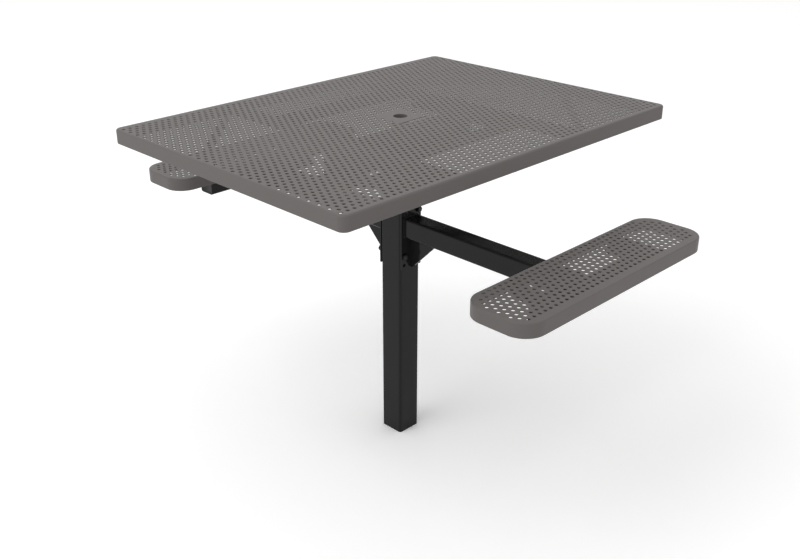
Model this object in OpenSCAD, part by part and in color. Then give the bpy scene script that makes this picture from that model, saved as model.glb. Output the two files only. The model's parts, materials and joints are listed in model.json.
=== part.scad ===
// Picnic table on a single post, with two bench seats on side arms.
// The top and the seats are coated, perforated steel sheets with formed edges.
// The post, the arms and the beam that carries the top are square steel tube.
// Millimetres. Origin at the centre of the post's lower end, +Z up, +Y along the seats.

/* [Post and beam] */
// Height of the post, from its lower end to the beam under the top
post_h = 1127.1; // [1000:0.1:1300]
// Side of the square tube of the post and the beam
post_w = 101.6; // [90:0.1:115]
// Wall of the post and the beam
post_wall = 4.8; // [3:0.1:6.5]
// Length of the beam under the top
beam_len = 635; // [600:1:680]

/* [Table top] */
// Size of the top across the seats
top_x = 1168.4; // [1165:0.1:1190]
// Size of the top along the seats
top_y = 1600.2; // [1598:0.1:1620]
// Radius of the top's corners in plan
top_corner_r = 25.4; // [15:0.1:60]
// Outer radius of the bend between the top and its skirt
top_bend_r = 7.5; // [5:0.1:8]
// Depth of the skirt from the upper surface
top_skirt = 50.8; // [46:0.1:60]

/* [Seats] */
// Width of a seat
seat_x = 254; // [250:0.1:275]
// Length of a seat
seat_y = 965.2; // [955:0.1:1000]
// Distance of a seat's centre line from the post's axis
seat_at_x = 851.7; // [830:0.1:900]
// Radius of a seat's corners in plan
seat_corner_r = 76.2; // [60:0.1:80]
// Outer radius of the bend between a seat and its skirt
seat_bend_r = 5.5; // [5:0.1:9]
// Depth of a seat's skirt
seat_skirt = 50; // [46:0.1:60]

/* [Perforated sheet] */
// Thickness of the coated sheet
sheet_t = 3; // [2:0.1:4.5]
// Diameter of the holes
hole_d = 12.7; // [10:0.1:14.6]
// Distance between holes along a row
hole_pitch = 25.4; // [25:0.1:25.8]
// Distance between rows
row_pitch = 22; // [21.8:0.01:22.1]
// Rows in the top
top_rows = 51; // [45:3:51]
// Place of the top's first row, on the +X side
top_first_row = 556.3; // [550:0.1:560]
// Rows in a seat
seat_rows = 10; // [6:1:10]
// Place of a seat's first row, from its centre line
seat_first_row = 91.2; // [88:0.1:95]

/* [Umbrella hole] */
// Diameter of the hole for the umbrella's pole
pole_d = 50.8; // [40:0.1:52]
// Outer diameter of the sleeve under the hole
sleeve_d = 60.3; // [58:0.1:64]
// Width of the slot beside the plain plate around the hole
slot_w = 8; // [4:0.1:11]

/* [Arms] */
// Side of the square tube of the arms and the seats' cross tubes
arm_w = 76.2; // [70:0.1:80]
// Wall of the arms and the cross tubes
arm_wall = 4.8; // [3:0.1:6]
// Distance from the beam's underside down to an arm's underside
arm_drop = 281.3; // [260:0.1:330]
// Length of a seat's cross tube, with its end caps
cross_len = 540; // [520:1:600]
// Thickness of the flange plates, the gussets and the mounting plates
plate_t = 6.35; // [5:0.05:8]
// Height of a flange plate
flange_h = 254; // [250:1:270]
// Distance from an arm's underside down to its flange plate's lower edge
flange_drop = 125.8; // [125.1:0.1:128]
// Leg of the gusset under an arm
gusset_leg = 125; // [90:1:125]

/* [Frames under the sheets] */
// Thickness of the flat bars on edge
bar_t = 5; // [4:0.1:6]
// Depth of the flat bars
bar_h = 42; // [34:0.5:44]
// Distance of the top's two long bars from the beam's ends
top_bar_inset = 5.5; // [3:0.1:9]
// Distance of the top's two short bars from the middle
top_bar_x = 304.8; // [260:0.1:330]
// Where the line of a corner brace meets the X and Y axes
brace_reach = 888; // [860:1:888]
// Half length of the top's mounting plates
top_plate_x = 203; // [180:1:230]
// Width of the mounting plates
plate_w = 50.8; // [44:0.1:52]
// Half length of a seat's mounting plates
seat_plate_x = 102; // [95:1:110]
// Distance of a seat's crossbars from the ends of its cross tube
seat_bar_inset = 9; // [4:0.1:11]

/* [Fasteners] */
// Diameter of the bolts through the flange plates and the post
arm_bolt_d = 12.7; // [10:0.1:13]
// Distance of those bolts from the post's middle plane
arm_bolt_y = 36.5; // [34:0.1:37]
// Height of the lower pair of bolts above the flange plate's lower edge
bolt_low = 50; // [45:0.5:60]
// Height of the upper pair of bolts above the flange plate's lower edge
bolt_high = 221; // [219:0.5:228]
// Height of the two spare holes above the flange plate's lower edge
spare_low = 15; // [12:0.5:22]
// Diameter of the bolts in the mounting plates
plate_bolt_d = 9.5; // [8:0.1:11]
// Leg of the weld beads
weld = 3; // [2:0.5:5]

/* [Hidden] */
$fn = 64;
tube_r = 2 * post_wall;                     // outer corner radius of the square tubes
arm_r = 2 * arm_wall;
stack = 2 * plate_t + bar_h + sheet_t;      // from a tube's upper face to the sheet's upper face
beam_z = post_h;                            // underside of the beam
top_z = post_h + post_w + stack;            // upper surface of the top
arm_z = post_h - arm_drop;                  // height of an arm's underside
arm_mid = arm_z + arm_w / 2;
arm_top = arm_z + arm_w;
seat_z = arm_top + stack;                   // upper surface of the seats
flange_x = post_w / 2 + plate_t;            // outer face of a flange plate
flange_z = arm_z - flange_drop;             // its lower edge
arm_end = seat_at_x - arm_w / 2;            // where an arm meets its cross tube
top_edge = top_bend_r + 0.5;                // width of the formed edge seen from above
seat_edge = seat_bend_r + 0.5;
top_in_x = top_x / 2 - sheet_t;             // inner faces of the top's skirt
top_in_y = top_y / 2 - sheet_t;
seat_in = seat_x / 2 - sheet_t;
plate_y = beam_len / 2 - plate_w / 2;       // middle of the top's mounting plates
seat_plate_y = cross_len / 2 - plate_w / 2;
top_bar_y = beam_len / 2 - top_bar_inset;   // middle of the long bars, over the plates' outer part
seat_bar_y = cross_len / 2 - seat_bar_inset;
cap_t = 3;                                  // flange of an end cap
slack = 1;                                  // clearance of the bolts in their holes
sheet_step = 0.02;                          // step in level from one band of rows to the next
top_border = 17;                            // least distance of hole centres from the ends of the top
seat_border = 20;                           // and from the edge of a seat
pad_border = 1;                             // plain strip between the holes and the plain plate
top_even = 4.3;                             // places of the first holes in alternate rows
top_odd = top_even + hole_pitch / 2;
seat_even = 20.4;
seat_odd = seat_even - hole_pitch / 2;
// Plain plate around the umbrella hole
pad_x0 = -67;
pad_x1 = 66;
pad_y0 = -63;
pad_y1 = 59;
top_bolt_xs = [-178, -89, 89, 178];
seat_bolt_x = 76;

// One name for each piece

// Colours
coat_grey = [0.42, 0.415, 0.405];
frame_black = [0.10, 0.10, 0.105];
cap_black = [0.04, 0.04, 0.04];
bolt_black = [0.07, 0.07, 0.07];

// Shared shapes

// Rectangle with round corners, centred
module round_rect(x, y, r) {
  square([x - 2 * r, y], center = true);
  square([x, y - 2 * r], center = true);
  for (i = [-1, 1], j = [-1, 1]) translate([i * (x / 2 - r), j * (y / 2 - r)]) circle(r);
}

// Section of a square tube
module tube_section(w, wall, r) {
  difference() {
    round_rect(w, w, r);
    round_rect(w - 2 * wall, w - 2 * wall, r - wall);
  }
}

// Extrusions along X and along Y, centred, with the section's second axis up
module along_x(len) { rotate([90, 0, 90]) linear_extrude(len, center = true) children(); }
module along_y(len) { rotate([90, 0, 0]) linear_extrude(len, center = true) children(); }

// A right-hand piece, or its twin turned half round the post
module side(left) { rotate([0, 0, left ? 180 : 0]) children(); }

// Section of a formed sheet edge: flat, bend and skirt, from u = 0 outward and down from z = 0
module edge_section(w, depth, bend) {
  difference() {
    translate([0, -depth]) square([w, depth]);
    // space inside the bend
    difference() {
      translate([-1, -depth - 1]) square([w - sheet_t + 1, depth - sheet_t + 1]);
      difference() {
        translate([w - bend, -bend]) square(bend);
        translate([w - bend, -bend]) circle(bend - sheet_t);
      }
    }
    // round outer side of the bend
    difference() {
      translate([w - bend, -bend]) square(bend + 1);
      translate([w - bend, -bend]) circle(bend);
    }
    // round lower lip
    difference() {
      translate([w - sheet_t - 1, -depth - 1]) square([sheet_t + 2, sheet_t / 2 + 1]);
      translate([w - sheet_t / 2, -depth + sheet_t / 2]) circle(sheet_t / 2);
    }
  }
}

// Formed edge all round a sheet, its upper face at z = 0
module rim(x, y, corner, w, depth, bend) {
  for (a = [0, 180]) rotate([0, 0, a]) {
    translate([x / 2 - w, 0, 0]) along_y(y - 2 * corner) edge_section(w, depth, bend);
    rotate([0, 0, 90]) translate([y / 2 - w, 0, 0])
      along_y(x - 2 * corner) edge_section(w, depth, bend);
    translate([x / 2 - corner, y / 2 - corner, 0]) rotate_extrude(angle = 90)
      translate([corner - w, 0]) edge_section(w, depth, bend);
    translate([-x / 2 + corner, y / 2 - corner, 0]) rotate([0, 0, 90]) rotate_extrude(angle = 90)
      translate([corner - w, 0]) edge_section(w, depth, bend);
  }
}

// Flat bar on edge along X between two skirts, its upper corners cut clear of the bends
module skirt_bar(half, cut) {
  along_y(bar_t) polygon([
    [-half, 0], [half, 0], [half, bar_h - cut],
    [half - cut, bar_h], [cut - half, bar_h], [-half, bar_h - cut]
  ]);
}

// Fillet bead around a square tube that stands on a plate, the plate at z = 0
module weld_ring(w, r) {
  for (a = [0 : 90 : 270]) rotate([0, 0, a]) {
    translate([w / 2, 0, 0]) rotate([90, 0, 0]) linear_extrude(w - 2 * r, center = true)
      polygon([[0, 0], [weld, 0], [0, weld]]);
    translate([w / 2 - r, w / 2 - r, 0]) rotate_extrude(angle = 90)
      polygon([[r, 0], [r + weld, 0], [r, weld]]);
  }
}

// Straight fillet bead along Y in the corner of x = 0 and z = 0
module weld_line(len) {
  rotate([90, 0, 0]) linear_extrude(len, center = true) polygon([[0, 0], [weld, 0], [0, weld]]);
}

// Hexagon head or nut blank, across flats af
module hex(af, h) { cylinder(d = af / cos(30), h = h, $fn = 6); }

// Bolt whose head sits on z = 0 and whose shank points down
module bolt(d, len) {
  hex(1.5 * d, 0.64 * d);
  translate([0, 0, -len]) cylinder(d = d, h = len + 1);
}

// Nut on z = 0, pointing down
module nut(d) {
  translate([0, 0, -0.86 * d]) difference() {
    hex(1.5 * d, 0.86 * d);
    translate([0, 0, -1]) cylinder(d = d, h = d + 2);
  }
}

// Places of the fasteners
module at_arm_bolts() {
  for (y = [-arm_bolt_y, arm_bolt_y], z = [bolt_low, bolt_high])
    translate([0, y, flange_z + z]) rotate([0, 90, 0]) children();
}
module at_top_bolts() { for (x = top_bolt_xs, s = [-1, 1]) translate([x, s * plate_y, 0]) children(); }
module at_seat_bolts() {
  for (x = [-seat_bolt_x, seat_bolt_x], s = [-1, 1]) translate([x, s * seat_plate_y, 0]) children();
}

// Post, beam and sleeve

// Post of square tube, drilled for the arm bolts
module post() color(frame_black) difference() {
  linear_extrude(post_h) tube_section(post_w, post_wall, tube_r);
  at_arm_bolts() cylinder(d = arm_bolt_d + slack, h = post_w + 20, center = true);
}

// Beam under the top, with a hole through both walls for the umbrella sleeve
module head_beam() color(frame_black) difference() {
  translate([0, 0, beam_z + post_w / 2]) along_y(beam_len) tube_section(post_w, post_wall, tube_r);
  translate([0, 0, beam_z - 5]) cylinder(d = sleeve_d, h = post_w + 10);
}

// Cap pushed into an open tube end that faces +Y at the origin
module end_cap(w, wall, r) {
  rotate([-90, 0, 0]) {
    linear_extrude(cap_t) round_rect(w, w, r);
    translate([0, 0, -18]) linear_extrude(18.5) tube_section(w - 2 * wall - 0.4, 3, r - wall + 1);
  }
}

module head_beam_caps() color(cap_black)
  for (a = [0, 180]) rotate([0, 0, a])
    translate([0, beam_len / 2, beam_z + post_w / 2]) end_cap(post_w, post_wall, tube_r);

// Beads between the post's front and back faces and the beam
module post_welds() color(frame_black)
  for (a = [90, 270]) rotate([0, 0, a])
    translate([post_w / 2, 0, post_h]) mirror([0, 0, 1]) weld_line(post_w - 2 * tube_r);

// Pipe that guides the umbrella's pole from the plate into the post
module umbrella_sleeve() color(coat_grey) {
  low = post_h - 25;
  translate([0, 0, low]) difference() {
    cylinder(d = sleeve_d, h = top_z - sheet_t - low);
    translate([0, 0, -1]) cylinder(d = pole_d, h = top_z - low + 2);
  }
}

// Table top

// Plain plate around the umbrella hole, flush with the perforated sheet
module umbrella_plate() color(coat_grey) translate([0, 0, top_z - sheet_t]) difference() {
  translate([pad_x0, pad_y0, 0]) cube([pad_x1 - pad_x0, pad_y1 - pad_y0, sheet_t]);
  translate([0, 0, -1]) cylinder(d = pole_d, h = sheet_t + 2);
}

// A hole of the top is left out where the plain plate or its slot lies
function at_pad(x, y) = let (m = hole_d / 2 + pad_border)
  x > pad_x0 - m && x < pad_x1 + slot_w + m && y > pad_y0 - m && y < pad_y1 + m;

// One band of the top's sheet, with its rows of staggered holes
module top_band(first, last) {
  half = top_x / 2 - top_edge;
  right = first == 0 ? half : top_first_row - (first - 0.5) * row_pitch;
  left = last == top_rows - 1 ? -half : top_first_row - (last + 0.5) * row_pitch;
  difference() {
    intersection() {
      round_rect(2 * half, top_y - 2 * top_edge, top_corner_r - top_edge);
      translate([left, -top_y / 2]) square([right - left, top_y]);
    }
    for (k = [first : last], n = [-32 : 31]) {
      x = top_first_row - k * row_pitch;
      y = (k % 2 == 0 ? top_even : top_odd) + n * hole_pitch;
      if (abs(y) < top_y / 2 - top_border + 0.01 && !at_pad(x, y)) translate([x, y]) circle(d = hole_d);
    }
    translate([pad_x0, pad_y0]) square([pad_x1 + slot_w - pad_x0, pad_y1 - pad_y0]);
  }
}

// Perforated sheet of the top, in bands of three rows
module table_panel() color(coat_grey)
  for (b = [0 : top_rows / 3 - 1])
    translate([0, 0, top_z - sheet_t + (b % 2) * sheet_step])
      linear_extrude(sheet_t - (b % 2) * 2 * sheet_step) top_band(3 * b, 3 * b + 2);

module table_rim() color(coat_grey)
  translate([0, 0, top_z]) rim(top_x, top_y, top_corner_r, top_edge, top_skirt, top_bend_r);

// Flat bars on edge under the top
module top_cross_bar(s) color(frame_black)
  translate([0, s * top_bar_y, top_z - sheet_t - bar_h]) skirt_bar(top_in_x, top_bend_r - sheet_t);
module top_bar_near() { top_cross_bar(-1); }
module top_bar_far() { top_cross_bar(1); }

module top_side_bar(s) color(frame_black)
  translate([s * top_bar_x - bar_t / 2, -top_bar_y + bar_t / 2, top_z - sheet_t - bar_h])
    cube([bar_t, 2 * top_bar_y - bar_t, bar_h]);
module top_bar_right() { top_side_bar(1); }
module top_bar_left() { top_side_bar(-1); }

// Braces at 45 degrees from the ends of the long bars to the skirt
module top_brace(i, j) color(frame_black) {
  h = bar_t / sqrt(2);
  y0 = top_bar_y + bar_t / 2;
  y1 = top_in_y;
  cut = top_bend_r - sheet_t;
  mirror([i < 0 ? 1 : 0, 0, 0]) mirror([0, j < 0 ? 1 : 0, 0])
    translate([0, 0, top_z - sheet_t - bar_h]) difference() {
      linear_extrude(bar_h) polygon([
        [brace_reach - y0 - h, y0], [brace_reach - y0 + h, y0],
        [brace_reach - y1 + h, y1], [brace_reach - y1 - h, y1]
      ]);
      along_x(top_x) polygon([
        [y1 - cut, bar_h], [y1 + 1, bar_h - cut - 1], [y1 + 1, bar_h + 1], [y1 - cut, bar_h + 1]
      ]);
    }
}
module top_brace_near_right() { top_brace(1, -1); }
module top_brace_near_left() { top_brace(-1, -1); }
module top_brace_far_right() { top_brace(1, 1); }
module top_brace_far_left() { top_brace(-1, 1); }

// Mounting plates: the upper one is fixed to the long bar, the lower one to the beam
module mount_plate(z, s) color(frame_black) difference() {
  translate([-top_plate_x, s * plate_y - plate_w / 2, z]) cube([2 * top_plate_x, plate_w, plate_t]);
  at_top_bolts() translate([0, 0, z - 1]) cylinder(d = plate_bolt_d + slack, h = plate_t + 2);
}
module top_plate_near() { mount_plate(top_z - sheet_t - bar_h - plate_t, -1); }
module top_plate_far() { mount_plate(top_z - sheet_t - bar_h - plate_t, 1); }
module beam_plate_near() { mount_plate(beam_z + post_w, -1); }
module beam_plate_far() { mount_plate(beam_z + post_w, 1); }

// Arms

module flange_plate(left) color(frame_black) side(left) difference() {
  translate([post_w / 2, -post_w / 2, flange_z]) cube([plate_t, post_w, flange_h]);
  at_arm_bolts() cylinder(d = arm_bolt_d + slack, h = 2 * post_w, center = true);
  for (y = [-arm_bolt_y, arm_bolt_y]) translate([post_w / 2 - 1, y, flange_z + spare_low])
    rotate([0, 90, 0]) cylinder(d = arm_bolt_d + slack, h = plate_t + 2);
}
module flange_plate_right() { flange_plate(false); }
module flange_plate_left() { flange_plate(true); }

module seat_arm(left) color(frame_black) side(left)
  translate([(flange_x + arm_end) / 2, 0, arm_mid])
    along_x(arm_end - flange_x) tube_section(arm_w, arm_wall, arm_r);
module seat_arm_right() { seat_arm(false); }
module seat_arm_left() { seat_arm(true); }

module arm_gusset(left) color(frame_black) side(left)
  translate([flange_x, 0, arm_z]) along_y(plate_t)
    polygon([
      [weld, 0], [gusset_leg, 0], [gusset_leg, -10],
      [10, -gusset_leg], [0, -gusset_leg], [0, -weld]
    ]);
module arm_gusset_right() { arm_gusset(false); }
module arm_gusset_left() { arm_gusset(true); }

// Bead round the arm at its flange plate, and upright beads at the cross tube
module arm_welds(left) color(frame_black) side(left) {
  translate([flange_x, 0, arm_mid]) rotate([0, 90, 0]) weld_ring(arm_w, arm_r);
  for (s = [-1, 1]) translate([arm_end, s * arm_w / 2, arm_mid])
    linear_extrude(arm_w - 2 * arm_r, center = true) polygon([[0, 0], [0, s * weld], [-weld, 0]]);
}
module arm_welds_right() { arm_welds(false); }
module arm_welds_left() { arm_welds(true); }

// Seats

module cross_tube(left) color(frame_black) side(left)
  translate([seat_at_x, 0, arm_mid]) along_y(cross_len - 2 * cap_t) tube_section(arm_w, arm_wall, arm_r);
module cross_tube_right() { cross_tube(false); }
module cross_tube_left() { cross_tube(true); }

module cross_tube_caps() color(cap_black)
  for (i = [-1, 1], a = [0, 180]) translate([i * seat_at_x, 0, arm_mid]) rotate([0, 0, a])
    translate([0, cross_len / 2 - cap_t, 0]) end_cap(arm_w, arm_wall, arm_r);

// Pair of mounting plates under a seat, with the lower face at height z
module seat_plate_pair(left, z) color(frame_black) side(left) translate([seat_at_x, 0, z]) difference() {
  for (s = [-1, 1]) translate([-seat_plate_x, s * seat_plate_y - plate_w / 2, 0])
    cube([2 * seat_plate_x, plate_w, plate_t]);
  at_seat_bolts() translate([0, 0, -1]) cylinder(d = plate_bolt_d + slack, h = plate_t + 2);
}
module tube_plates_right() { seat_plate_pair(false, arm_top); }
module tube_plates_left() { seat_plate_pair(true, arm_top); }
module seat_plates_right() { seat_plate_pair(false, arm_top + plate_t); }
module seat_plates_left() { seat_plate_pair(true, arm_top + plate_t); }

// Two flat bars on edge across a seat
module seat_bars(left) color(frame_black) side(left)
  translate([seat_at_x, 0, seat_z - sheet_t - bar_h])
    for (s = [-1, 1]) translate([0, s * seat_bar_y, 0]) skirt_bar(seat_in, seat_bend_r - sheet_t);
module seat_bars_right() { seat_bars(false); }
module seat_bars_left() { seat_bars(true); }

// A hole of a seat is kept if it lies inside the plain border, which follows the round corners
function in_seat(x, y) = let (
    cx = max(0, abs(x) - (seat_x / 2 - seat_corner_r)),
    cy = max(0, abs(y) - (seat_y / 2 - seat_corner_r)))
  norm([cx, cy]) < seat_corner_r - seat_border;

// Perforated sheet of a seat
module seat_panel(left) color(coat_grey) side(left)
  translate([seat_at_x, 0, seat_z - sheet_t]) linear_extrude(sheet_t) difference() {
    round_rect(seat_x - 2 * seat_edge, seat_y - 2 * seat_edge, seat_corner_r - seat_edge);
    for (k = [0 : seat_rows - 1], n = [-19 : 19]) {
      x = seat_first_row - k * row_pitch;
      y = (k % 2 == 0 ? seat_even : seat_odd) + n * hole_pitch;
      if (in_seat(x, y)) translate([x, y]) circle(d = hole_d);
    }
  }
module seat_panel_right() { seat_panel(false); }
module seat_panel_left() { seat_panel(true); }

module seat_rim(left) color(coat_grey) side(left)
  translate([seat_at_x, 0, seat_z]) rim(seat_x, seat_y, seat_corner_r, seat_edge, seat_skirt, seat_bend_r);
module seat_rim_right() { seat_rim(false); }
module seat_rim_left() { seat_rim(true); }

// Fasteners

// Bolts right through both flange plates and the post, heads on the +X side
module arm_bolts() color(bolt_black)
  at_arm_bolts() translate([0, 0, flange_x + 2.5]) bolt(arm_bolt_d, 2 * flange_x + 20);

module arm_washers() color(bolt_black) at_arm_bolts()
  for (z = [flange_x, -flange_x - 2.5]) translate([0, 0, z]) difference() {
    cylinder(d = 26, h = 2.5);
    translate([0, 0, -1]) cylinder(d = arm_bolt_d, h = 5);
  }

module arm_nuts() color(bolt_black) at_arm_bolts() translate([0, 0, -flange_x - 2.5]) nut(arm_bolt_d);

// Bolts that clamp each upper mounting plate to the lower one
module top_bolts() color(bolt_black)
  at_top_bolts() translate([0, 0, beam_z + post_w + 2 * plate_t]) bolt(plate_bolt_d, 2 * plate_t + 12);
module top_nuts() color(bolt_black) at_top_bolts() translate([0, 0, beam_z + post_w]) nut(plate_bolt_d);

module seat_bolts() color(bolt_black)
  for (a = [0, 180]) rotate([0, 0, a]) translate([seat_at_x, 0, arm_top + 2 * plate_t])
    at_seat_bolts() bolt(plate_bolt_d, 2 * plate_t + 12);
module seat_nuts() color(bolt_black)
  for (a = [0, 180]) rotate([0, 0, a]) translate([seat_at_x, 0, arm_top])
    at_seat_bolts() nut(plate_bolt_d);

post();
head_beam();
head_beam_caps();
post_welds();
umbrella_sleeve();
umbrella_plate();
table_panel();
table_rim();
top_bar_near();
top_bar_far();
top_bar_right();
top_bar_left();
top_brace_near_right();
top_brace_near_left();
top_brace_far_right();
top_brace_far_left();
top_plate_near();
top_plate_far();
beam_plate_near();
beam_plate_far();
flange_plate_right();
flange_plate_left();
seat_arm_right();
seat_arm_left();
arm_gusset_right();
arm_gusset_left();
arm_welds_right();
arm_welds_left();
cross_tube_right();
cross_tube_left();
cross_tube_caps();
tube_plates_right();
tube_plates_left();
seat_plates_right();
seat_plates_left();
seat_bars_right();
seat_bars_left();
seat_panel_right();
seat_panel_left();
seat_rim_right();
seat_rim_left();
arm_bolts();
arm_washers();
arm_nuts();
top_bolts();
top_nuts();
seat_bolts();
seat_nuts();
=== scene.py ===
import json
import math

import bmesh
import bpy
import numpy as np
from mathutils import Matrix, Vector
from mathutils.geometry import delaunay_2d_cdt


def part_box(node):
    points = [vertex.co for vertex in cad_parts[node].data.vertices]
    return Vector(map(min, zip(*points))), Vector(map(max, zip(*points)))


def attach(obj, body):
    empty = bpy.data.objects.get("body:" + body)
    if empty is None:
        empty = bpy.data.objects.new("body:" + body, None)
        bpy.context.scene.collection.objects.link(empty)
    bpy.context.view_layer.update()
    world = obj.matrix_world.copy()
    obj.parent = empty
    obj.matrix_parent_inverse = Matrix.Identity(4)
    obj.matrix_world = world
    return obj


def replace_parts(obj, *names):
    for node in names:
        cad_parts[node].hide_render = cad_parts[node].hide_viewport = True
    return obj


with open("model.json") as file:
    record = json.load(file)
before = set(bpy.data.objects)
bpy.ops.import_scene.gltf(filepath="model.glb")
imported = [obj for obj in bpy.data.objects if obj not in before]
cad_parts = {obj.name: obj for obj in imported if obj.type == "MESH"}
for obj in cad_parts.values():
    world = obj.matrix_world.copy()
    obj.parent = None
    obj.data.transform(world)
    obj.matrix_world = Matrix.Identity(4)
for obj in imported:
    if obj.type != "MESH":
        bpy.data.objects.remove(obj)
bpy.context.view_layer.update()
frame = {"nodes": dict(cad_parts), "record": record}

# A picnic table on one post, with two seats on side arms. Sizes are in metres. +X is to the right-hand seat
# and +Y to the far end of the top. The pieces made here replace CAD ones that are plain in a close look.


# Materials

# Noise at which a patch of colour is darkest, and lightest
DARK_PATCH = 0.3
LIGHT_PATCH = 0.7


def noise(tree, coords, scale, detail):
    """Noise over Object coordinates: `scale` waves to the metre, finer with more `detail`."""
    tex = tree.nodes.new("ShaderNodeTexNoise")
    tex.inputs["Scale"].default_value = scale
    tex.inputs["Detail"].default_value = detail
    tree.links.new(coords.outputs["Object"], tex.inputs["Vector"])
    return tex


def drift_colour(tree, shader, coords, colour, scale, share):
    """Base colour that drifts in soft patches, from `colour` less a share of itself to as much more."""
    tex = noise(tree, coords, scale, detail=3.0)
    ramp = tree.nodes.new("ShaderNodeValToRGB")
    dark, light = ramp.color_ramp.elements
    dark.position = DARK_PATCH
    light.position = LIGHT_PATCH
    dark.color = [c * (1 - share) for c in colour] + [1.0]
    light.color = [c * (1 + share) for c in colour] + [1.0]
    tree.links.new(tex.outputs["Fac"], ramp.inputs["Fac"])
    tree.links.new(ramp.outputs["Color"], shader.inputs["Base Color"])


def vary_roughness(tree, shader, coords, scale, low, high):
    """Roughness that runs from low to high with the noise."""
    tex = noise(tree, coords, scale, detail=2.0)
    ramp = tree.nodes.new("ShaderNodeMapRange")
    ramp.inputs["To Min"].default_value = low
    ramp.inputs["To Max"].default_value = high
    tree.links.new(tex.outputs["Fac"], ramp.inputs["Value"])
    tree.links.new(ramp.outputs["Result"], shader.inputs["Roughness"])


def add_relief(tree, shader, coords, scale, height):
    """Fine relief of `height` metres."""
    tex = noise(tree, coords, scale, detail=1.0)
    bump = tree.nodes.new("ShaderNodeBump")
    bump.inputs["Strength"].default_value = 1.0
    bump.inputs["Distance"].default_value = height
    tree.links.new(tex.outputs["Fac"], bump.inputs["Height"])
    tree.links.new(bump.outputs["Normal"], shader.inputs["Normal"])


def coat(name, colour, patches, satin, relief, specular):
    """A finish from its colour, patches (scale, share), satin (scale, low, high), relief (scale, height)
    and specular level."""
    mat = bpy.data.materials.new(name)
    mat.use_nodes = True
    tree = mat.node_tree
    shader = tree.nodes["Principled BSDF"]
    coords = tree.nodes.new("ShaderNodeTexCoord")
    drift_colour(tree, shader, coords, colour, *patches)
    vary_roughness(tree, shader, coords, *satin)
    add_relief(tree, shader, coords, *relief)
    shader.inputs["Specular IOR Level"].default_value = specular
    return mat


def sheet_coating():
    """Thick satin plastic coating on the perforated sheets, with a faint orange peel."""
    return coat("sheet_coating", (0.148, 0.1356, 0.1315), patches=(2.5, 0.02),
                satin=(60.0, 0.40, 0.48), relief=(420.0, 0.00004), specular=0.12)


def powder_coat():
    """Glossy black powder coat on the tubes, plates and bars."""
    return coat("powder_coat", (0.0165, 0.0165, 0.0168), patches=(4.0, 0.05),
                satin=(25.0, 0.07, 0.12), relief=(260.0, 0.000012), specular=0.13)


def cap_plastic():
    """Moulded black plastic of the tube end caps."""
    return coat("cap_plastic", (0.0035, 0.0035, 0.0035), patches=(8.0, 0.05),
                satin=(90.0, 0.42, 0.55), relief=(900.0, 0.00002), specular=0.25)


def bolt_black():
    """Thin black coat on the bolts, washers and nuts, a little uneven over the steel."""
    return coat("bolt_black", (0.009, 0.009, 0.009), patches=(90.0, 0.25),
                satin=(220.0, 0.26, 0.40), relief=(700.0, 0.00001), specular=0.25)


FINISH = dict(
    coat_grey=sheet_coating(),
    frame_black=powder_coat(),
    cap_black=cap_plastic(),
    bolt_black=bolt_black(),
)


def dress_cad():
    """Gives every CAD node the finish of its material slot in the record."""
    for row in frame["record"]["subparts"]:
        data = frame["nodes"][row["node"]].data
        data.materials.clear()
        data.materials.append(FINISH[row["material_slot"]])


# Shapes: points, and blocks of faces that have one row of point numbers to a face

SAME_POINT = 0.000001  # distance within which points are taken as one
SHARP = 35.0           # degrees over which an edge stays sharp
# Directions that carry a shape's z to +X, -X, +Y or -Y, or leave it upright
TO_PLUS_X = [(0, 1, 0), (0, 0, 1), (1, 0, 0)]
TO_MINUS_X = [(0, -1, 0), (0, 0, 1), (-1, 0, 0)]
TO_PLUS_Y = [(-1, 0, 0), (0, 0, 1), (0, 1, 0)]
TO_MINUS_Y = [(1, 0, 0), (0, 0, 1), (0, -1, 0)]
UPRIGHT = [(1, 0, 0), (0, 1, 0), (0, 0, 1)]


def put_piece(name, shape, slot, sharp=SHARP, weld=False):
    """A piece from a shape, smooth but for edges over `sharp` degrees. `weld` makes points that lie
    together one."""
    verts, blocks = shape
    mesh = bpy.data.meshes.new(name)
    mesh.from_pydata(verts.tolist(), [], [face for block in blocks for face in block.tolist()])
    if weld:
        cells = bmesh.new()
        cells.from_mesh(mesh)
        bmesh.ops.remove_doubles(cells, verts=cells.verts, dist=SAME_POINT)
        cells.to_mesh(mesh)
        cells.free()
    mesh.shade_smooth()
    mesh.set_sharp_from_angle(angle=math.radians(sharp))
    mesh.materials.append(FINISH[slot])
    obj = bpy.data.objects.new(name, mesh)
    bpy.context.scene.collection.objects.link(obj)
    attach(obj, "root")
    return obj


def joined(shapes):
    """Several shapes as one, with the point numbers moved along."""
    starts = np.cumsum([0] + [len(verts) for verts, _ in shapes])
    blocks = [block + start for (_, own), start in zip(shapes, starts) for block in own]
    return np.vstack([verts for verts, _ in shapes]), blocks


def turned(shape, axes, at):
    """A shape carried from its own x, y, z to the three directions in `axes`, then to `at`."""
    verts, blocks = shape
    return verts @ np.array(axes, float) + np.array(at, float), blocks


def ring_grid(rings, around, closed=False):
    """Quads between rings of points that follow one another, numbered row by row. A closed grid also
    joins its last ring to its first."""
    r, a = np.meshgrid(np.arange(rings if closed else rings - 1), np.arange(around), indexing="ij")
    b = (a + 1) % around
    here, next_ring = r * around, (r + 1) % rings * around
    return np.stack([here + a, here + b, next_ring + b, next_ring + a], -1).reshape(-1, 4)


def solid_stack(rings, around):
    """Blocks of faces for a stack of rings with a flat face at each end."""
    end = np.arange(around)[None]
    return [ring_grid(rings, around), end[:, ::-1], end + (rings - 1) * around]


def lifted(loop, z):
    """A flat loop of points at the height z."""
    return np.column_stack([loop, np.full(len(loop), z)])


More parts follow.
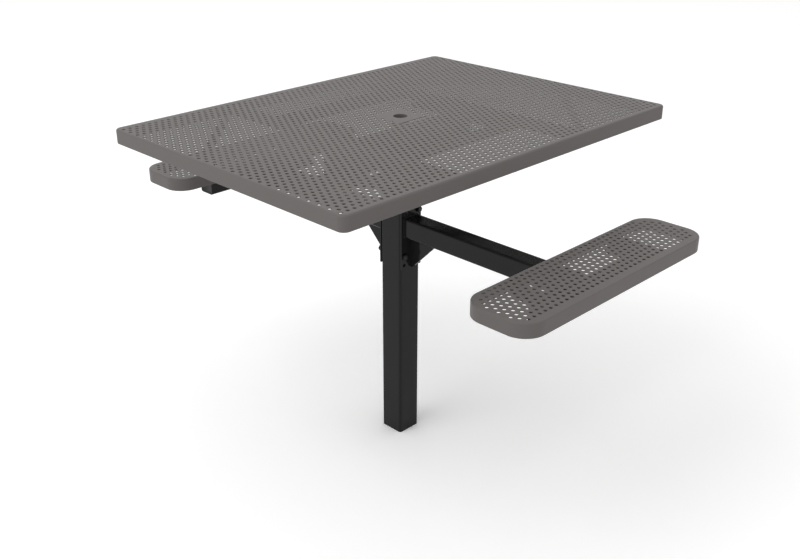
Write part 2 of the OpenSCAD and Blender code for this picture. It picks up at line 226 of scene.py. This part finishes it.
def round_rectangle(half_x, half_y, corner, per_corner):
    """Closed loop round a rectangle: four quarter circles of radius `corner`, joined by straight sides."""
    turn = np.concatenate([np.linspace(0, np.pi / 2, per_corner) + k * np.pi / 2 for k in range(4)])
    side = np.repeat([[1, 1], [-1, 1], [-1, -1], [1, -1]], per_corner, axis=0)
    return (np.stack([np.cos(turn), np.sin(turn)], -1) * corner
            + side * np.array([half_x - corner, half_y - corner]))


# Perforated sheets

HOLE = 0.00635       # radius of a hole
LIP = 0.0005         # rounding of the coating at its edge
AROUND = 16          # points round a hole
PITCH = 0.0254       # between holes along a row
ROW = 0.022          # between rows
REACH = 40           # holes tried to each side of a row's middle, more than a row has
# Place of the first row, number of rows, and the first hole of the even and odd rows
TOP_ROWS = dict(first=0.5563, count=51, even=0.0043, odd=0.0170)
SEAT_ROWS = dict(first=0.0912, count=10, even=0.0204, odd=0.0077)
TOP_BORDER = 0.017   # least distance of hole centres from the ends of the top
SEAT_BORDER = 0.020  # and from the edge of a seat
ROUNDING = 0.00001   # lets a hole stay whose centre lies on the limit
PAD_BORDER = 0.001   # least width of sheet between a hole and the opening for the plain plate
SLOT = 0.008         # opening beside the plain plate, on its +X side
TOP_EDGE = 0.008     # width of the formed edge round the flat sheet
SEAT_EDGE = 0.006
TOP_CORNER = 0.0254  # radius of the outer corners in plan
SEAT_CORNER = 0.0762
# Points on a round corner, as many as the CAD's formed edge has, so that no gap opens between them
TOP_ARC = 12
SEAT_ARC = 16
SHEET_SHARP = 50.0   # degrees, so that the lips are smooth and the lower edges sharp
# Which faces the Delaunay net keeps, and how near to each other it takes points as one
INSIDE_OUTLINE = 1
NET_TOLERANCE = 1e-7


def lattice(rows, half_y):
    """Hole centres: row k lies at x = first - k ROW, with y = even or odd + n PITCH out to half_y."""
    k, n = np.meshgrid(np.arange(rows["count"]), np.arange(-REACH, REACH + 1), indexing="ij")
    y = np.where(k % 2, rows["odd"], rows["even"]) + n * PITCH
    centres = np.stack([rows["first"] - k * ROW, y], -1).reshape(-1, 2)
    return centres[np.abs(centres[:, 1]) < half_y]


def ring_of(centres, radius):
    """Points round each hole centre, at AROUND even angles."""
    turn = 2 * np.pi * np.arange(AROUND) / AROUND
    return centres[:, None, :] + radius * np.stack([np.cos(turn), np.sin(turn)], -1)[None]


def loop_edges(count, start=0):
    """Pairs of neighbouring points in a closed loop."""
    j = np.arange(count)
    return np.stack([j, (j + 1) % count], -1) + start


def flat_faces(loops, centres, top, bottom):
    """Both faces of a sheet between its outline, its opening and the rings round its holes. One Delaunay
    net serves for both. A triangle with all its corners on one ring, or on the opening, lies in a hole."""
    plain = np.vstack(loops)
    rings = ring_of(centres, HOLE + 2 * LIP).reshape(-1, 2)
    starts = np.cumsum([0] + [len(loop) for loop in loops])
    edges = [loop_edges(len(loop), start) for loop, start in zip(loops, starts)]
    first = len(plain) + AROUND * np.arange(len(centres))
    edges.append((loop_edges(AROUND)[None] + first[:, None, None]).reshape(-1, 2))
    points = np.vstack([plain, rings])
    net = delaunay_2d_cdt([Vector(p) for p in points.tolist()], np.vstack(edges).tolist(), [],
                          INSIDE_OUTLINE, NET_TOLERANCE, False)
    tris = np.array(net[2])
    outline, opening = -1, -2
    owner = np.concatenate([np.repeat([outline, opening], [starts[1], len(plain) - starts[1]]),
                            np.repeat(np.arange(len(centres)), AROUND)])[tris]
    in_sheet = (owner[:, 0] == outline) | (owner[:, 0] != owner[:, 1]) | (owner[:, 1] != owner[:, 2])
    tris = tris[in_sheet]
    narrow = np.vstack([plain, ring_of(centres, HOLE).reshape(-1, 2)])
    verts = np.vstack([lifted(points, top), lifted(narrow, bottom)])
    return verts, np.vstack([tris, tris[:, ::-1] + len(points)])


def hole_walls(centres, top, bottom):
    """Four rings down each hole, for a flat step, the rounded lip and the wall."""
    reach = (HOLE + 2 * LIP, HOLE + LIP, HOLE, HOLE)
    height = np.array([top, top, top - LIP, bottom])
    rings = np.stack([ring_of(centres, r) for r in reach], 1)
    z = np.broadcast_to(height[None, :, None, None], rings.shape[:3] + (1,))
    verts = np.concatenate([rings, z], -1).reshape(-1, 3)
    one_hole = ring_grid(len(reach), AROUND)[:, [0, 3, 2, 1]]
    start = len(reach) * AROUND * np.arange(len(centres))
    return verts, (one_hole[None] + start[:, None, None]).reshape(-1, 4)


def edge_wall(loop, top, bottom, inward=False):
    """Upright band along a closed loop, facing away from the inside of the loop or towards it."""
    n = len(loop)
    verts = np.vstack([lifted(loop, top), lifted(loop, bottom)])
    j, k = loop_edges(n).T
    quads = np.stack([j, j + n, k + n, k], -1)
    return verts, quads[:, ::-1] if inward else quads


def between(surface, low, high):
    """The faces of a surface whose middle lies between two x, with their points, as a shape."""
    verts, faces = surface
    x = verts[faces, 0].mean(axis=1)
    faces = faces[(x >= low) & (x < high)]
    used, places = np.unique(faces, return_inverse=True)
    return verts[used], [places.reshape(faces.shape)]


def top_sheet():
    """The top's sheet in three parts of even width. Its rows leave out the plain plate and the slot."""
    low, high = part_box("table_panel")
    pad_low, pad_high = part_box("umbrella_plate")
    x0, y0, x1, y1 = pad_low.x, pad_low.y, pad_high.x + SLOT, pad_high.y
    centres = lattice(TOP_ROWS, high.y + TOP_EDGE - TOP_BORDER + ROUNDING)
    clear = HOLE + PAD_BORDER
    at_pad = np.all((centres > (x0 - clear, y0 - clear)) & (centres < (x1 + clear, y1 + clear)), axis=1)
    centres = centres[~at_pad]
    outline = round_rectangle(high.x, high.y, TOP_CORNER - TOP_EDGE, TOP_ARC)
    opening = np.array([[x0, y0], [x1, y0], [x1, y1], [x0, y1]])
    surfaces = [
        flat_faces([outline, opening], centres, high.z, low.z),
        hole_walls(centres, high.z, low.z),
        edge_wall(outline, high.z, low.z),
        edge_wall(opening, high.z, low.z, inward=True),
    ]
    third = high.x / 3
    past = 2 * high.x
    for name, start, end in (("right", third, past), ("middle", -third, third), ("left", -past, -third)):
        shape = joined([between(surface, start, end) for surface in surfaces])
        obj = put_piece("table_panel_" + name + "_lipped", shape, "coat_grey", SHEET_SHARP, weld=True)
        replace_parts(obj, "table_panel")


def seat_sheets():
    """The two seats' sheets, one turned half round from the other. A hole stays where its centre is far
    enough from the edge, also round the corners."""
    for side, sign in (("right", 1), ("left", -1)):
        low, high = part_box("seat_panel_" + side)
        mid, half = (low + high) / 2, (high - low) / 2
        corner = SEAT_CORNER - SEAT_EDGE
        centres = lattice(SEAT_ROWS, half.y)
        past = np.maximum(np.abs(centres) - (half.x - corner, half.y - corner), 0)
        centres = centres[np.linalg.norm(past, axis=1) < SEAT_CORNER - SEAT_BORDER]
        outline = round_rectangle(half.x, half.y, corner, SEAT_ARC)
        surfaces = [
            flat_faces([outline], centres, high.z, low.z),
            hole_walls(centres, high.z, low.z),
            edge_wall(outline, high.z, low.z),
        ]
        verts, blocks = joined([(points, [faces]) for points, faces in surfaces])
        shape = verts * (sign, sign, 1) + (mid.x, mid.y, 0), blocks
        obj = put_piece("seat_panel_" + side + "_lipped", shape, "coat_grey", SHEET_SHARP, weld=True)
        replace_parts(obj, "seat_panel_" + side)


# Bolts and nuts

ARM_BOLT = 0.0127    # shank diameters
PLATE_BOLT = 0.0095
ARM_THREAD = 0.024   # lengths of the threads
PLATE_THREAD = 0.022
ARM_AROUND = 36      # points round a bolt or nut
PLATE_AROUND = 24
THREAD_STEPS = 5     # rings to one turn of a thread
WASHER = 0.013       # radius of an arm bolt's washer
# Proportions, in shank diameters
ACROSS = 1.5         # across the flats of a head or nut
HEAD = 0.64          # height of a head
NUT = 0.86           # height of a nut
THREAD_PITCH = 0.13
THREAD_DEPTH = 0.055
SHANK_END = 0.36     # radius of the shank's flat end
END_CHAMFER = 0.1    # height of the chamfer there
HEAD_SEAT = 0.02     # bevel under a head
BORE_CHAMFER = 0.05  # at a nut's bore
# Radii on a head or nut, in widths across the flats: where the cone begins, and a ring on the flat top
CONE = 0.47
HEAD_RING = 0.40
CONE_SLOPE = math.tan(math.radians(30))
# From the middle of a plate bolt's head to its flats and to its points, in metres
HALF_FLAT = ACROSS * PLATE_BOLT / 2
HALF_POINT = HALF_FLAT / math.cos(math.radians(30))


def profile(around, *values):
    """Radii or heights of rings, one ring to a row. Each value is one number for a whole ring, one number
    for each angle, or several rings at once."""
    return np.vstack([np.broadcast_to(value, (len(np.atleast_2d(value)), around)) for value in values])


def lathe(radius, height):
    """Points of rings about z: point (i, j) lies at angle 2 pi j / n, radius[i, j] and height[i, j]."""
    turn = 2 * np.pi * np.arange(radius.shape[1]) / radius.shape[1]
    return np.stack([radius * np.cos(turn), radius * np.sin(turn), height], -1).reshape(-1, 3)


def hexagon(across, around):
    """Radius of a hexagon across its flats, at each of `around` even angles."""
    turn = 2 * np.pi * np.arange(around) / around
    return across / 2 / np.cos((turn % (np.pi / 3)) - np.pi / 6)


def hex_bolt(d, shank, thread, around):
    """Bolt with its head on z = 0 and its shank down to -shank. The head is a hexagon whose top is cut
    by a 30 degree cone. The thread is a ridge of radius d / 2 less a triangle wave of z / pitch - turn."""
    across, head, pitch = ACROSS * d, HEAD * d, THREAD_PITCH * d
    turn = np.arange(around) / around
    low = np.arange(-shank + END_CHAMFER * d, -shank + thread, pitch / THREAD_STEPS)[:, None]
    wave = np.abs(((low / pitch - turn) % 1.0) * 2 - 1)
    ridge = d / 2 - THREAD_DEPTH * d * wave
    hexa = hexagon(across, around)
    cut = head - (hexa - CONE * across) * CONE_SLOPE
    radius = profile(around, SHANK_END * d, ridge, d / 2, d / 2, hexa - HEAD_SEAT * d, hexa, hexa,
                     CONE * across, HEAD_RING * across)
    height = profile(around, -shank, low, -shank + thread + pitch, 0, 0, HEAD_SEAT * d, cut, head, head)
    return lathe(radius, height), solid_stack(len(radius), around)


def hex_nut(d, around):
    """Nut from z = 0 down: a hexagon with both ends cut by a cone, and a plain bore d across."""
    across, tall, chamfer = ACROSS * d, NUT * d, BORE_CHAMFER * d
    hexa = hexagon(across, around)
    slope = (hexa - CONE * across) * CONE_SLOPE
    bore, mouth, cone = d / 2, d / 2 + chamfer, CONE * across
    radius = profile(around, bore, mouth, cone, hexa, hexa, cone, mouth, bore)
    height = profile(around, chamfer - tall, -tall, -tall, slope - tall, -slope, 0, 0, -chamfer)
    return lathe(radius, height), [ring_grid(len(radius), around, closed=True)]


def arm_fasteners():
    """Bolts through both flange plates and the post, with their nuts, in the middle of the washers."""
    low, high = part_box("arm_washers")
    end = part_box("arm_bolts")[0].x
    places = [(y, z) for y in (low.y + WASHER, high.y - WASHER) for z in (low.z + WASHER, high.z - WASHER)]
    bolt = hex_bolt(ARM_BOLT, high.x - end, ARM_THREAD, ARM_AROUND)
    nut = hex_nut(ARM_BOLT, ARM_AROUND)
    bolts = joined([turned(bolt, TO_PLUS_X, (high.x, y, z)) for y, z in places])
    nuts = joined([turned(nut, TO_PLUS_X, (low.x, y, z)) for y, z in places])
    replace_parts(put_piece("arm_bolts_threaded", bolts, "bolt_black"), "arm_bolts")
    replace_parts(put_piece("arm_nuts_chamfered", nuts, "bolt_black"), "arm_nuts")


def plate_fasteners(kind, places, bottom, above, below):
    """Upright bolts down to `bottom` at each (x, y), with their heads on the plate `above` and their nuts
    under the plate `below`."""
    top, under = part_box(above)[1].z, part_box(below)[0].z
    bolt = hex_bolt(PLATE_BOLT, top - bottom, PLATE_THREAD, PLATE_AROUND)
    nut = hex_nut(PLATE_BOLT, PLATE_AROUND)
    bolts = joined([turned(bolt, UPRIGHT, (x, y, top)) for x, y in places])
    nuts = joined([turned(nut, UPRIGHT, (x, y, under)) for x, y in places])
    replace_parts(put_piece(kind + "_bolts_threaded", bolts, "bolt_black"), kind + "_bolts")
    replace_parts(put_piece(kind + "_nuts_chamfered", nuts, "bolt_black"), kind + "_nuts")


def top_fasteners():
    """The bolts between the beam and the top, four in each plate, with the outer ones at the ends of the
    CAD bolts' box and the inner ones half as far out."""
    low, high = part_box("top_bolts")
    outer, y = high.x - HALF_POINT, high.y - HALF_FLAT
    places = [(x, s * y) for x in (-outer, -outer / 2, outer / 2, outer) for s in (-1, 1)]
    plate_fasteners("top", places, low.z, "top_plate_near", "beam_plate_near")


def seat_fasteners():
    """The bolts between the cross tubes and the seats, one to each side of a tube at both its ends."""
    low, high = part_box("seat_bolts")
    tube_low, tube_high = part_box("cross_tube_right")
    mid = (tube_low.x + tube_high.x) / 2
    step, y = high.x - HALF_POINT - mid, high.y - HALF_FLAT
    places = [(x + d, s * y) for x in (-mid, mid) for d in (-step, step) for s in (-1, 1)]
    plate_fasteners("seat", places, low.z, "seat_plates_right", "tube_plates_right")


# End caps

TUBE_CORNER = 0.0096  # outer corner of every square tube
CAP = 0.003           # thickness of a cap's rim
CAP_LIP = 0.0012      # radius of its rounded lip
LIP_STEPS = 5         # rings on the lip
CAP_ARC = 8           # points on a corner
PLUG_INSET = 0.006    # from the tube's face to the plug
PLUG_DEPTH = 0.012
DISH_INSET = 0.0075   # from the tube's face to the shallow dish in the cap
DISH_SLOPE = 0.001    # width of the dish's side
DISH_DEPTH = 0.0006
LEAST_CORNER = 0.002  # radius that no ring's corners go below


def tube_cap(half):
    """Cap on a tube end at z = 0: rounded squares that step out from a short plug inside the tube, up
    round a quarter circle to the rim, and in and down to a shallow dish."""
    turn = np.linspace(0, np.pi / 2, LIP_STEPS)
    lip = np.stack([CAP_LIP * (1 - np.cos(turn)), CAP - CAP_LIP + CAP_LIP * np.sin(turn)], -1)
    steps = np.vstack([[[PLUG_INSET, -PLUG_DEPTH], [PLUG_INSET, 0], [0, 0]], lip,
                       [[DISH_INSET, CAP], [DISH_INSET + DISH_SLOPE, CAP - DISH_DEPTH]]])
    rings = []
    for inset, z in steps:
        corner = max(TUBE_CORNER - inset, LEAST_CORNER)
        rings.append(lifted(round_rectangle(half - inset, half - inset, corner, CAP_ARC), z))
    return np.vstack(rings), solid_stack(len(rings), len(rings[0]))


def cap_pair(tube):
    """Caps for both ends of a square tube that lies along Y."""
    low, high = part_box(tube)
    mid, half = (low + high) / 2, (high.z - low.z) / 2
    return [turned(tube_cap(half), TO_PLUS_Y, (mid.x, high.y, mid.z)),
            turned(tube_cap(half), TO_MINUS_Y, (mid.x, low.y, mid.z))]


def caps():
    """Caps with rounded lips on the ends of the cross tubes and of the beam."""
    shapes = cap_pair("cross_tube_right") + cap_pair("cross_tube_left")
    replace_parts(put_piece("cross_tube_caps_lipped", joined(shapes), "cap_black"), "cross_tube_caps")
    shapes = cap_pair("head_beam")
    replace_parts(put_piece("head_beam_caps_lipped", joined(shapes), "cap_black"), "head_beam_caps")


# Weld beads

BEAD = 0.003          # leg of the fillet
SWELL = 0.0009        # how far its face stands out in the middle
BEAD_POINTS = 7       # on its face
RIPPLE = 0.0035       # length of one ripple
RIPPLE_STEPS = 6      # rings to a ripple
RIPPLE_DEPTH = 0.10   # share of the bead's size
RIPPLE_ROUND = 0.6    # power that gives the ripples a round back and a sharp valley
BEAD_START = 0.35     # share of the full size at a bead's ends
BEAD_RISE = 0.003     # distance in which it grows by the whole size
LEAST_STEPS = 8       # rings on a very short bead
RING_ARC = 24         # points on a corner of the outline that a ring bead follows


def bead_section():
    """Section of a fillet bead in the corner of two walls: (0, 0), then an arc from (0, leg) to (leg, 0)
    that stands out from the straight line by SWELL. Its two numbers are up the wall and out from it."""
    t = np.linspace(0, 1, BEAD_POINTS)
    out = SWELL * np.sin(np.pi * t)
    arc = np.stack([BEAD * (1 - t) + out, BEAD * t + out], -1)
    return np.vstack([[[0.0, 0.0]], arc])


def rippled(s, pitch):
    """Size of a bead at the places s along it: 1 less a share of a rounded sawtooth |sin(pi s / pitch)|."""
    return 1 - RIPPLE_DEPTH * np.abs(np.sin(np.pi * s / pitch)) ** RIPPLE_ROUND


def straight_bead(start, along, up, out, length):
    """Weld bead carried from `start` in the direction `along`, in the corner of the walls that `up` and
    `out` point away from; its section swells and shrinks with the ripples and fades at both ends."""
    start, along, up, out = (np.array(v, float) for v in (start, along, up, out))
    s = np.linspace(0, length, max(int(length / RIPPLE) * RIPPLE_STEPS, LEAST_STEPS))
    fade = np.clip(np.minimum(s, length - s) / BEAD_RISE + BEAD_START, BEAD_START, 1.0)
    size = (rippled(s, RIPPLE) * fade)[:, None, None]
    section = bead_section()
    verts = start + s[:, None, None] * along + size * (section[:, :1] * up + section[:, 1:] * out)
    blocks = solid_stack(len(s), len(section))
    if np.dot(np.cross(up, out), along) > 0:
        blocks = [block[:, ::-1] for block in blocks]
    return verts.reshape(-1, 3), blocks


def ring_bead(half):
    """Weld bead round a square tube that stands on the plane z = 0: the bead's section is carried round
    the tube's rounded outline, with `out` along the outline's normal and `up` along z."""
    line = round_rectangle(half, half, TUBE_CORNER, RING_ARC)
    loop = np.vstack([line, line[:1]])
    run = np.concatenate([[0], np.cumsum(np.linalg.norm(np.diff(loop, axis=0), axis=1))])
    ripples = int(run[-1] / RIPPLE)
    count = ripples * RIPPLE_STEPS
    s = np.arange(count) * run[-1] / count
    at = np.stack([np.interp(s, run, loop[:, 0]), np.interp(s, run, loop[:, 1])], -1)
    normal = at - np.clip(at, TUBE_CORNER - half, half - TUBE_CORNER)
    normal /= np.linalg.norm(normal, axis=1)[:, None]
    size = rippled(s, run[-1] / ripples)[:, None]
    section = bead_section()
    out = at[:, None] + (size * section[:, 1])[:, :, None] * normal[:, None]
    verts = np.concatenate([out, (size * section[:, 0])[:, :, None]], -1)
    return verts.reshape(-1, 3), [ring_grid(count, len(section), closed=True)]


def arm_welds():
    """A ring bead round each arm's foot on the flange plate, and upright beads at its two sides where it
    meets the cross tube."""
    for side, sign, axes in (("right", 1, TO_PLUS_X), ("left", -1, TO_MINUS_X)):
        low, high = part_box("seat_arm_" + side)
        mid, half = (low + high) / 2, (high.z - low.z) / 2
        foot, tip = (low.x, high.x) if sign > 0 else (high.x, low.x)
        flat = 2 * (half - TUBE_CORNER)
        shapes = [turned(ring_bead(half), axes, (foot, mid.y, mid.z))]
        shapes += [straight_bead((tip, s * half, mid.z - flat / 2), (0, 0, 1), (-sign, 0, 0), (0, s, 0),
                                 flat) for s in (-1, 1)]
        obj = put_piece("arm_welds_" + side + "_rippled", joined(shapes), "frame_black")
        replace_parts(obj, "arm_welds_" + side)


def post_welds():
    """Beads under the beam, along the two sides of the post that face the beam's ends."""
    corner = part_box("post")[1]
    flat = 2 * (corner.x - TUBE_CORNER)
    shapes = [straight_bead((-flat / 2, s * corner.y, corner.z), (1, 0, 0), (0, 0, -1), (0, s, 0), flat)
              for s in (-1, 1)]
    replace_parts(put_piece("post_welds_rippled", joined(shapes), "frame_black"), "post_welds")


# Room

FLOOR_HALF = 30.0    # half the floor's side
FLOOR_MATTE = 0.80   # the floor's colour, as it lights the table
FLOOR_WHITE = 1.20   # and as the camera and gloss see it, so that it is white away from the shadow
ROOM_LIGHT = 0.79    # strength of the even light all round
ROOM_WHITE = 1.0     # and as the camera and gloss see it
LAMP_AT = (-2.0, -7.4, 9.5)
LAMP_AIM = (0, 0, 0.7)
LAMP_SIZE = 7.0
LAMP_POWER = 370     # watts
LENS = 45.0          # millimetres, as is the width of the camera's frame
FRAME_WIDTH = 36.0
VIEW_FAR = 100.0
CAMERA_AT = (2.44402, -2.44561, 2.25887)
CAMERA_TILT = 65     # degrees up from looking straight down
CAMERA_TURN = 45     # degrees to the left of looking along +Y


def white_where_seen(tree, plain, white):
    """A value that is `white` for rays from the camera or off a gloss, and `plain` for all others."""
    path = tree.nodes.new("ShaderNodeLightPath")
    seen = tree.nodes.new("ShaderNodeMath")
    seen.operation = "MAXIMUM"
    level = tree.nodes.new("ShaderNodeMapRange")
    level.inputs["To Min"].default_value = plain
    level.inputs["To Max"].default_value = white
    tree.links.new(path.outputs["Is Camera Ray"], seen.inputs[0])
    tree.links.new(path.outputs["Is Glossy Ray"], seen.inputs[1])
    tree.links.new(seen.outputs[0], level.inputs["Value"])
    return level


def floor():
    """Plain pale floor that keeps a soft shadow and looks white away from it."""
    mesh = bpy.data.meshes.new("floor")
    corners = np.array([(-1, -1, 0), (1, -1, 0), (1, 1, 0), (-1, 1, 0)]) * FLOOR_HALF
    mesh.from_pydata(corners.tolist(), [], [(0, 1, 2, 3)])
    obj = bpy.data.objects.new("floor", mesh)
    bpy.context.scene.collection.objects.link(obj)
    mat = bpy.data.materials.new("floor_white")
    mat.use_nodes = True
    tree = mat.node_tree
    tree.nodes.remove(tree.nodes["Principled BSDF"])
    matte = tree.nodes.new("ShaderNodeBsdfDiffuse")
    level = white_where_seen(tree, FLOOR_MATTE, FLOOR_WHITE)
    tree.links.new(level.outputs["Result"], matte.inputs["Color"])
    tree.links.new(matte.outputs[0], tree.nodes["Material Output"].inputs["Surface"])
    mesh.materials.append(mat)


def soft_box():
    """Large square lamp high up to the left of the camera, turned to face the table."""
    data = bpy.data.lights.new("soft_box", "AREA")
    data.size = LAMP_SIZE
    data.energy = LAMP_POWER
    obj = bpy.data.objects.new("soft_box", data)
    look = np.array(LAMP_AIM, float) - LAMP_AT
    look /= np.linalg.norm(look)
    side = np.cross(look, (0, 0, 1))
    side /= np.linalg.norm(side)
    up = np.cross(side, look)
    obj.matrix_world = Matrix([[side[i], up[i], -look[i], LAMP_AT[i]] for i in range(3)] + [[0, 0, 0, 1]])
    bpy.context.scene.collection.objects.link(obj)


def room_light():
    """White room: an even world and one soft box."""
    world = bpy.context.scene.world or bpy.data.worlds.new("room")
    bpy.context.scene.world = world
    world.use_nodes = True
    tree = world.node_tree
    ground = tree.nodes["Background"]
    ground.inputs["Color"].default_value = (1, 1, 1, 1)
    level = white_where_seen(tree, ROOM_LIGHT, ROOM_WHITE)
    tree.links.new(level.outputs["Result"], ground.inputs["Strength"])
    soft_box()


def camera():
    """The photograph's view: 25 degrees down, from between +X and -Y."""
    data = bpy.data.cameras.new("camera")
    data.lens = LENS
    data.sensor_width = FRAME_WIDTH
    data.sensor_fit = "HORIZONTAL"
    data.clip_end = VIEW_FAR
    obj = bpy.data.objects.new("camera", data)
    obj.location = CAMERA_AT
    obj.rotation_euler = (math.radians(CAMERA_TILT), 0, math.radians(CAMERA_TURN))
    bpy.context.scene.collection.objects.link(obj)
    bpy.context.scene.camera = obj


dress_cad()
top_sheet()
seat_sheets()
arm_fasteners()
top_fasteners()
seat_fasteners()
caps()
arm_welds()
post_welds()
floor()
room_light()
camera()
bpy.context.scene.view_settings.view_transform = "Standard"
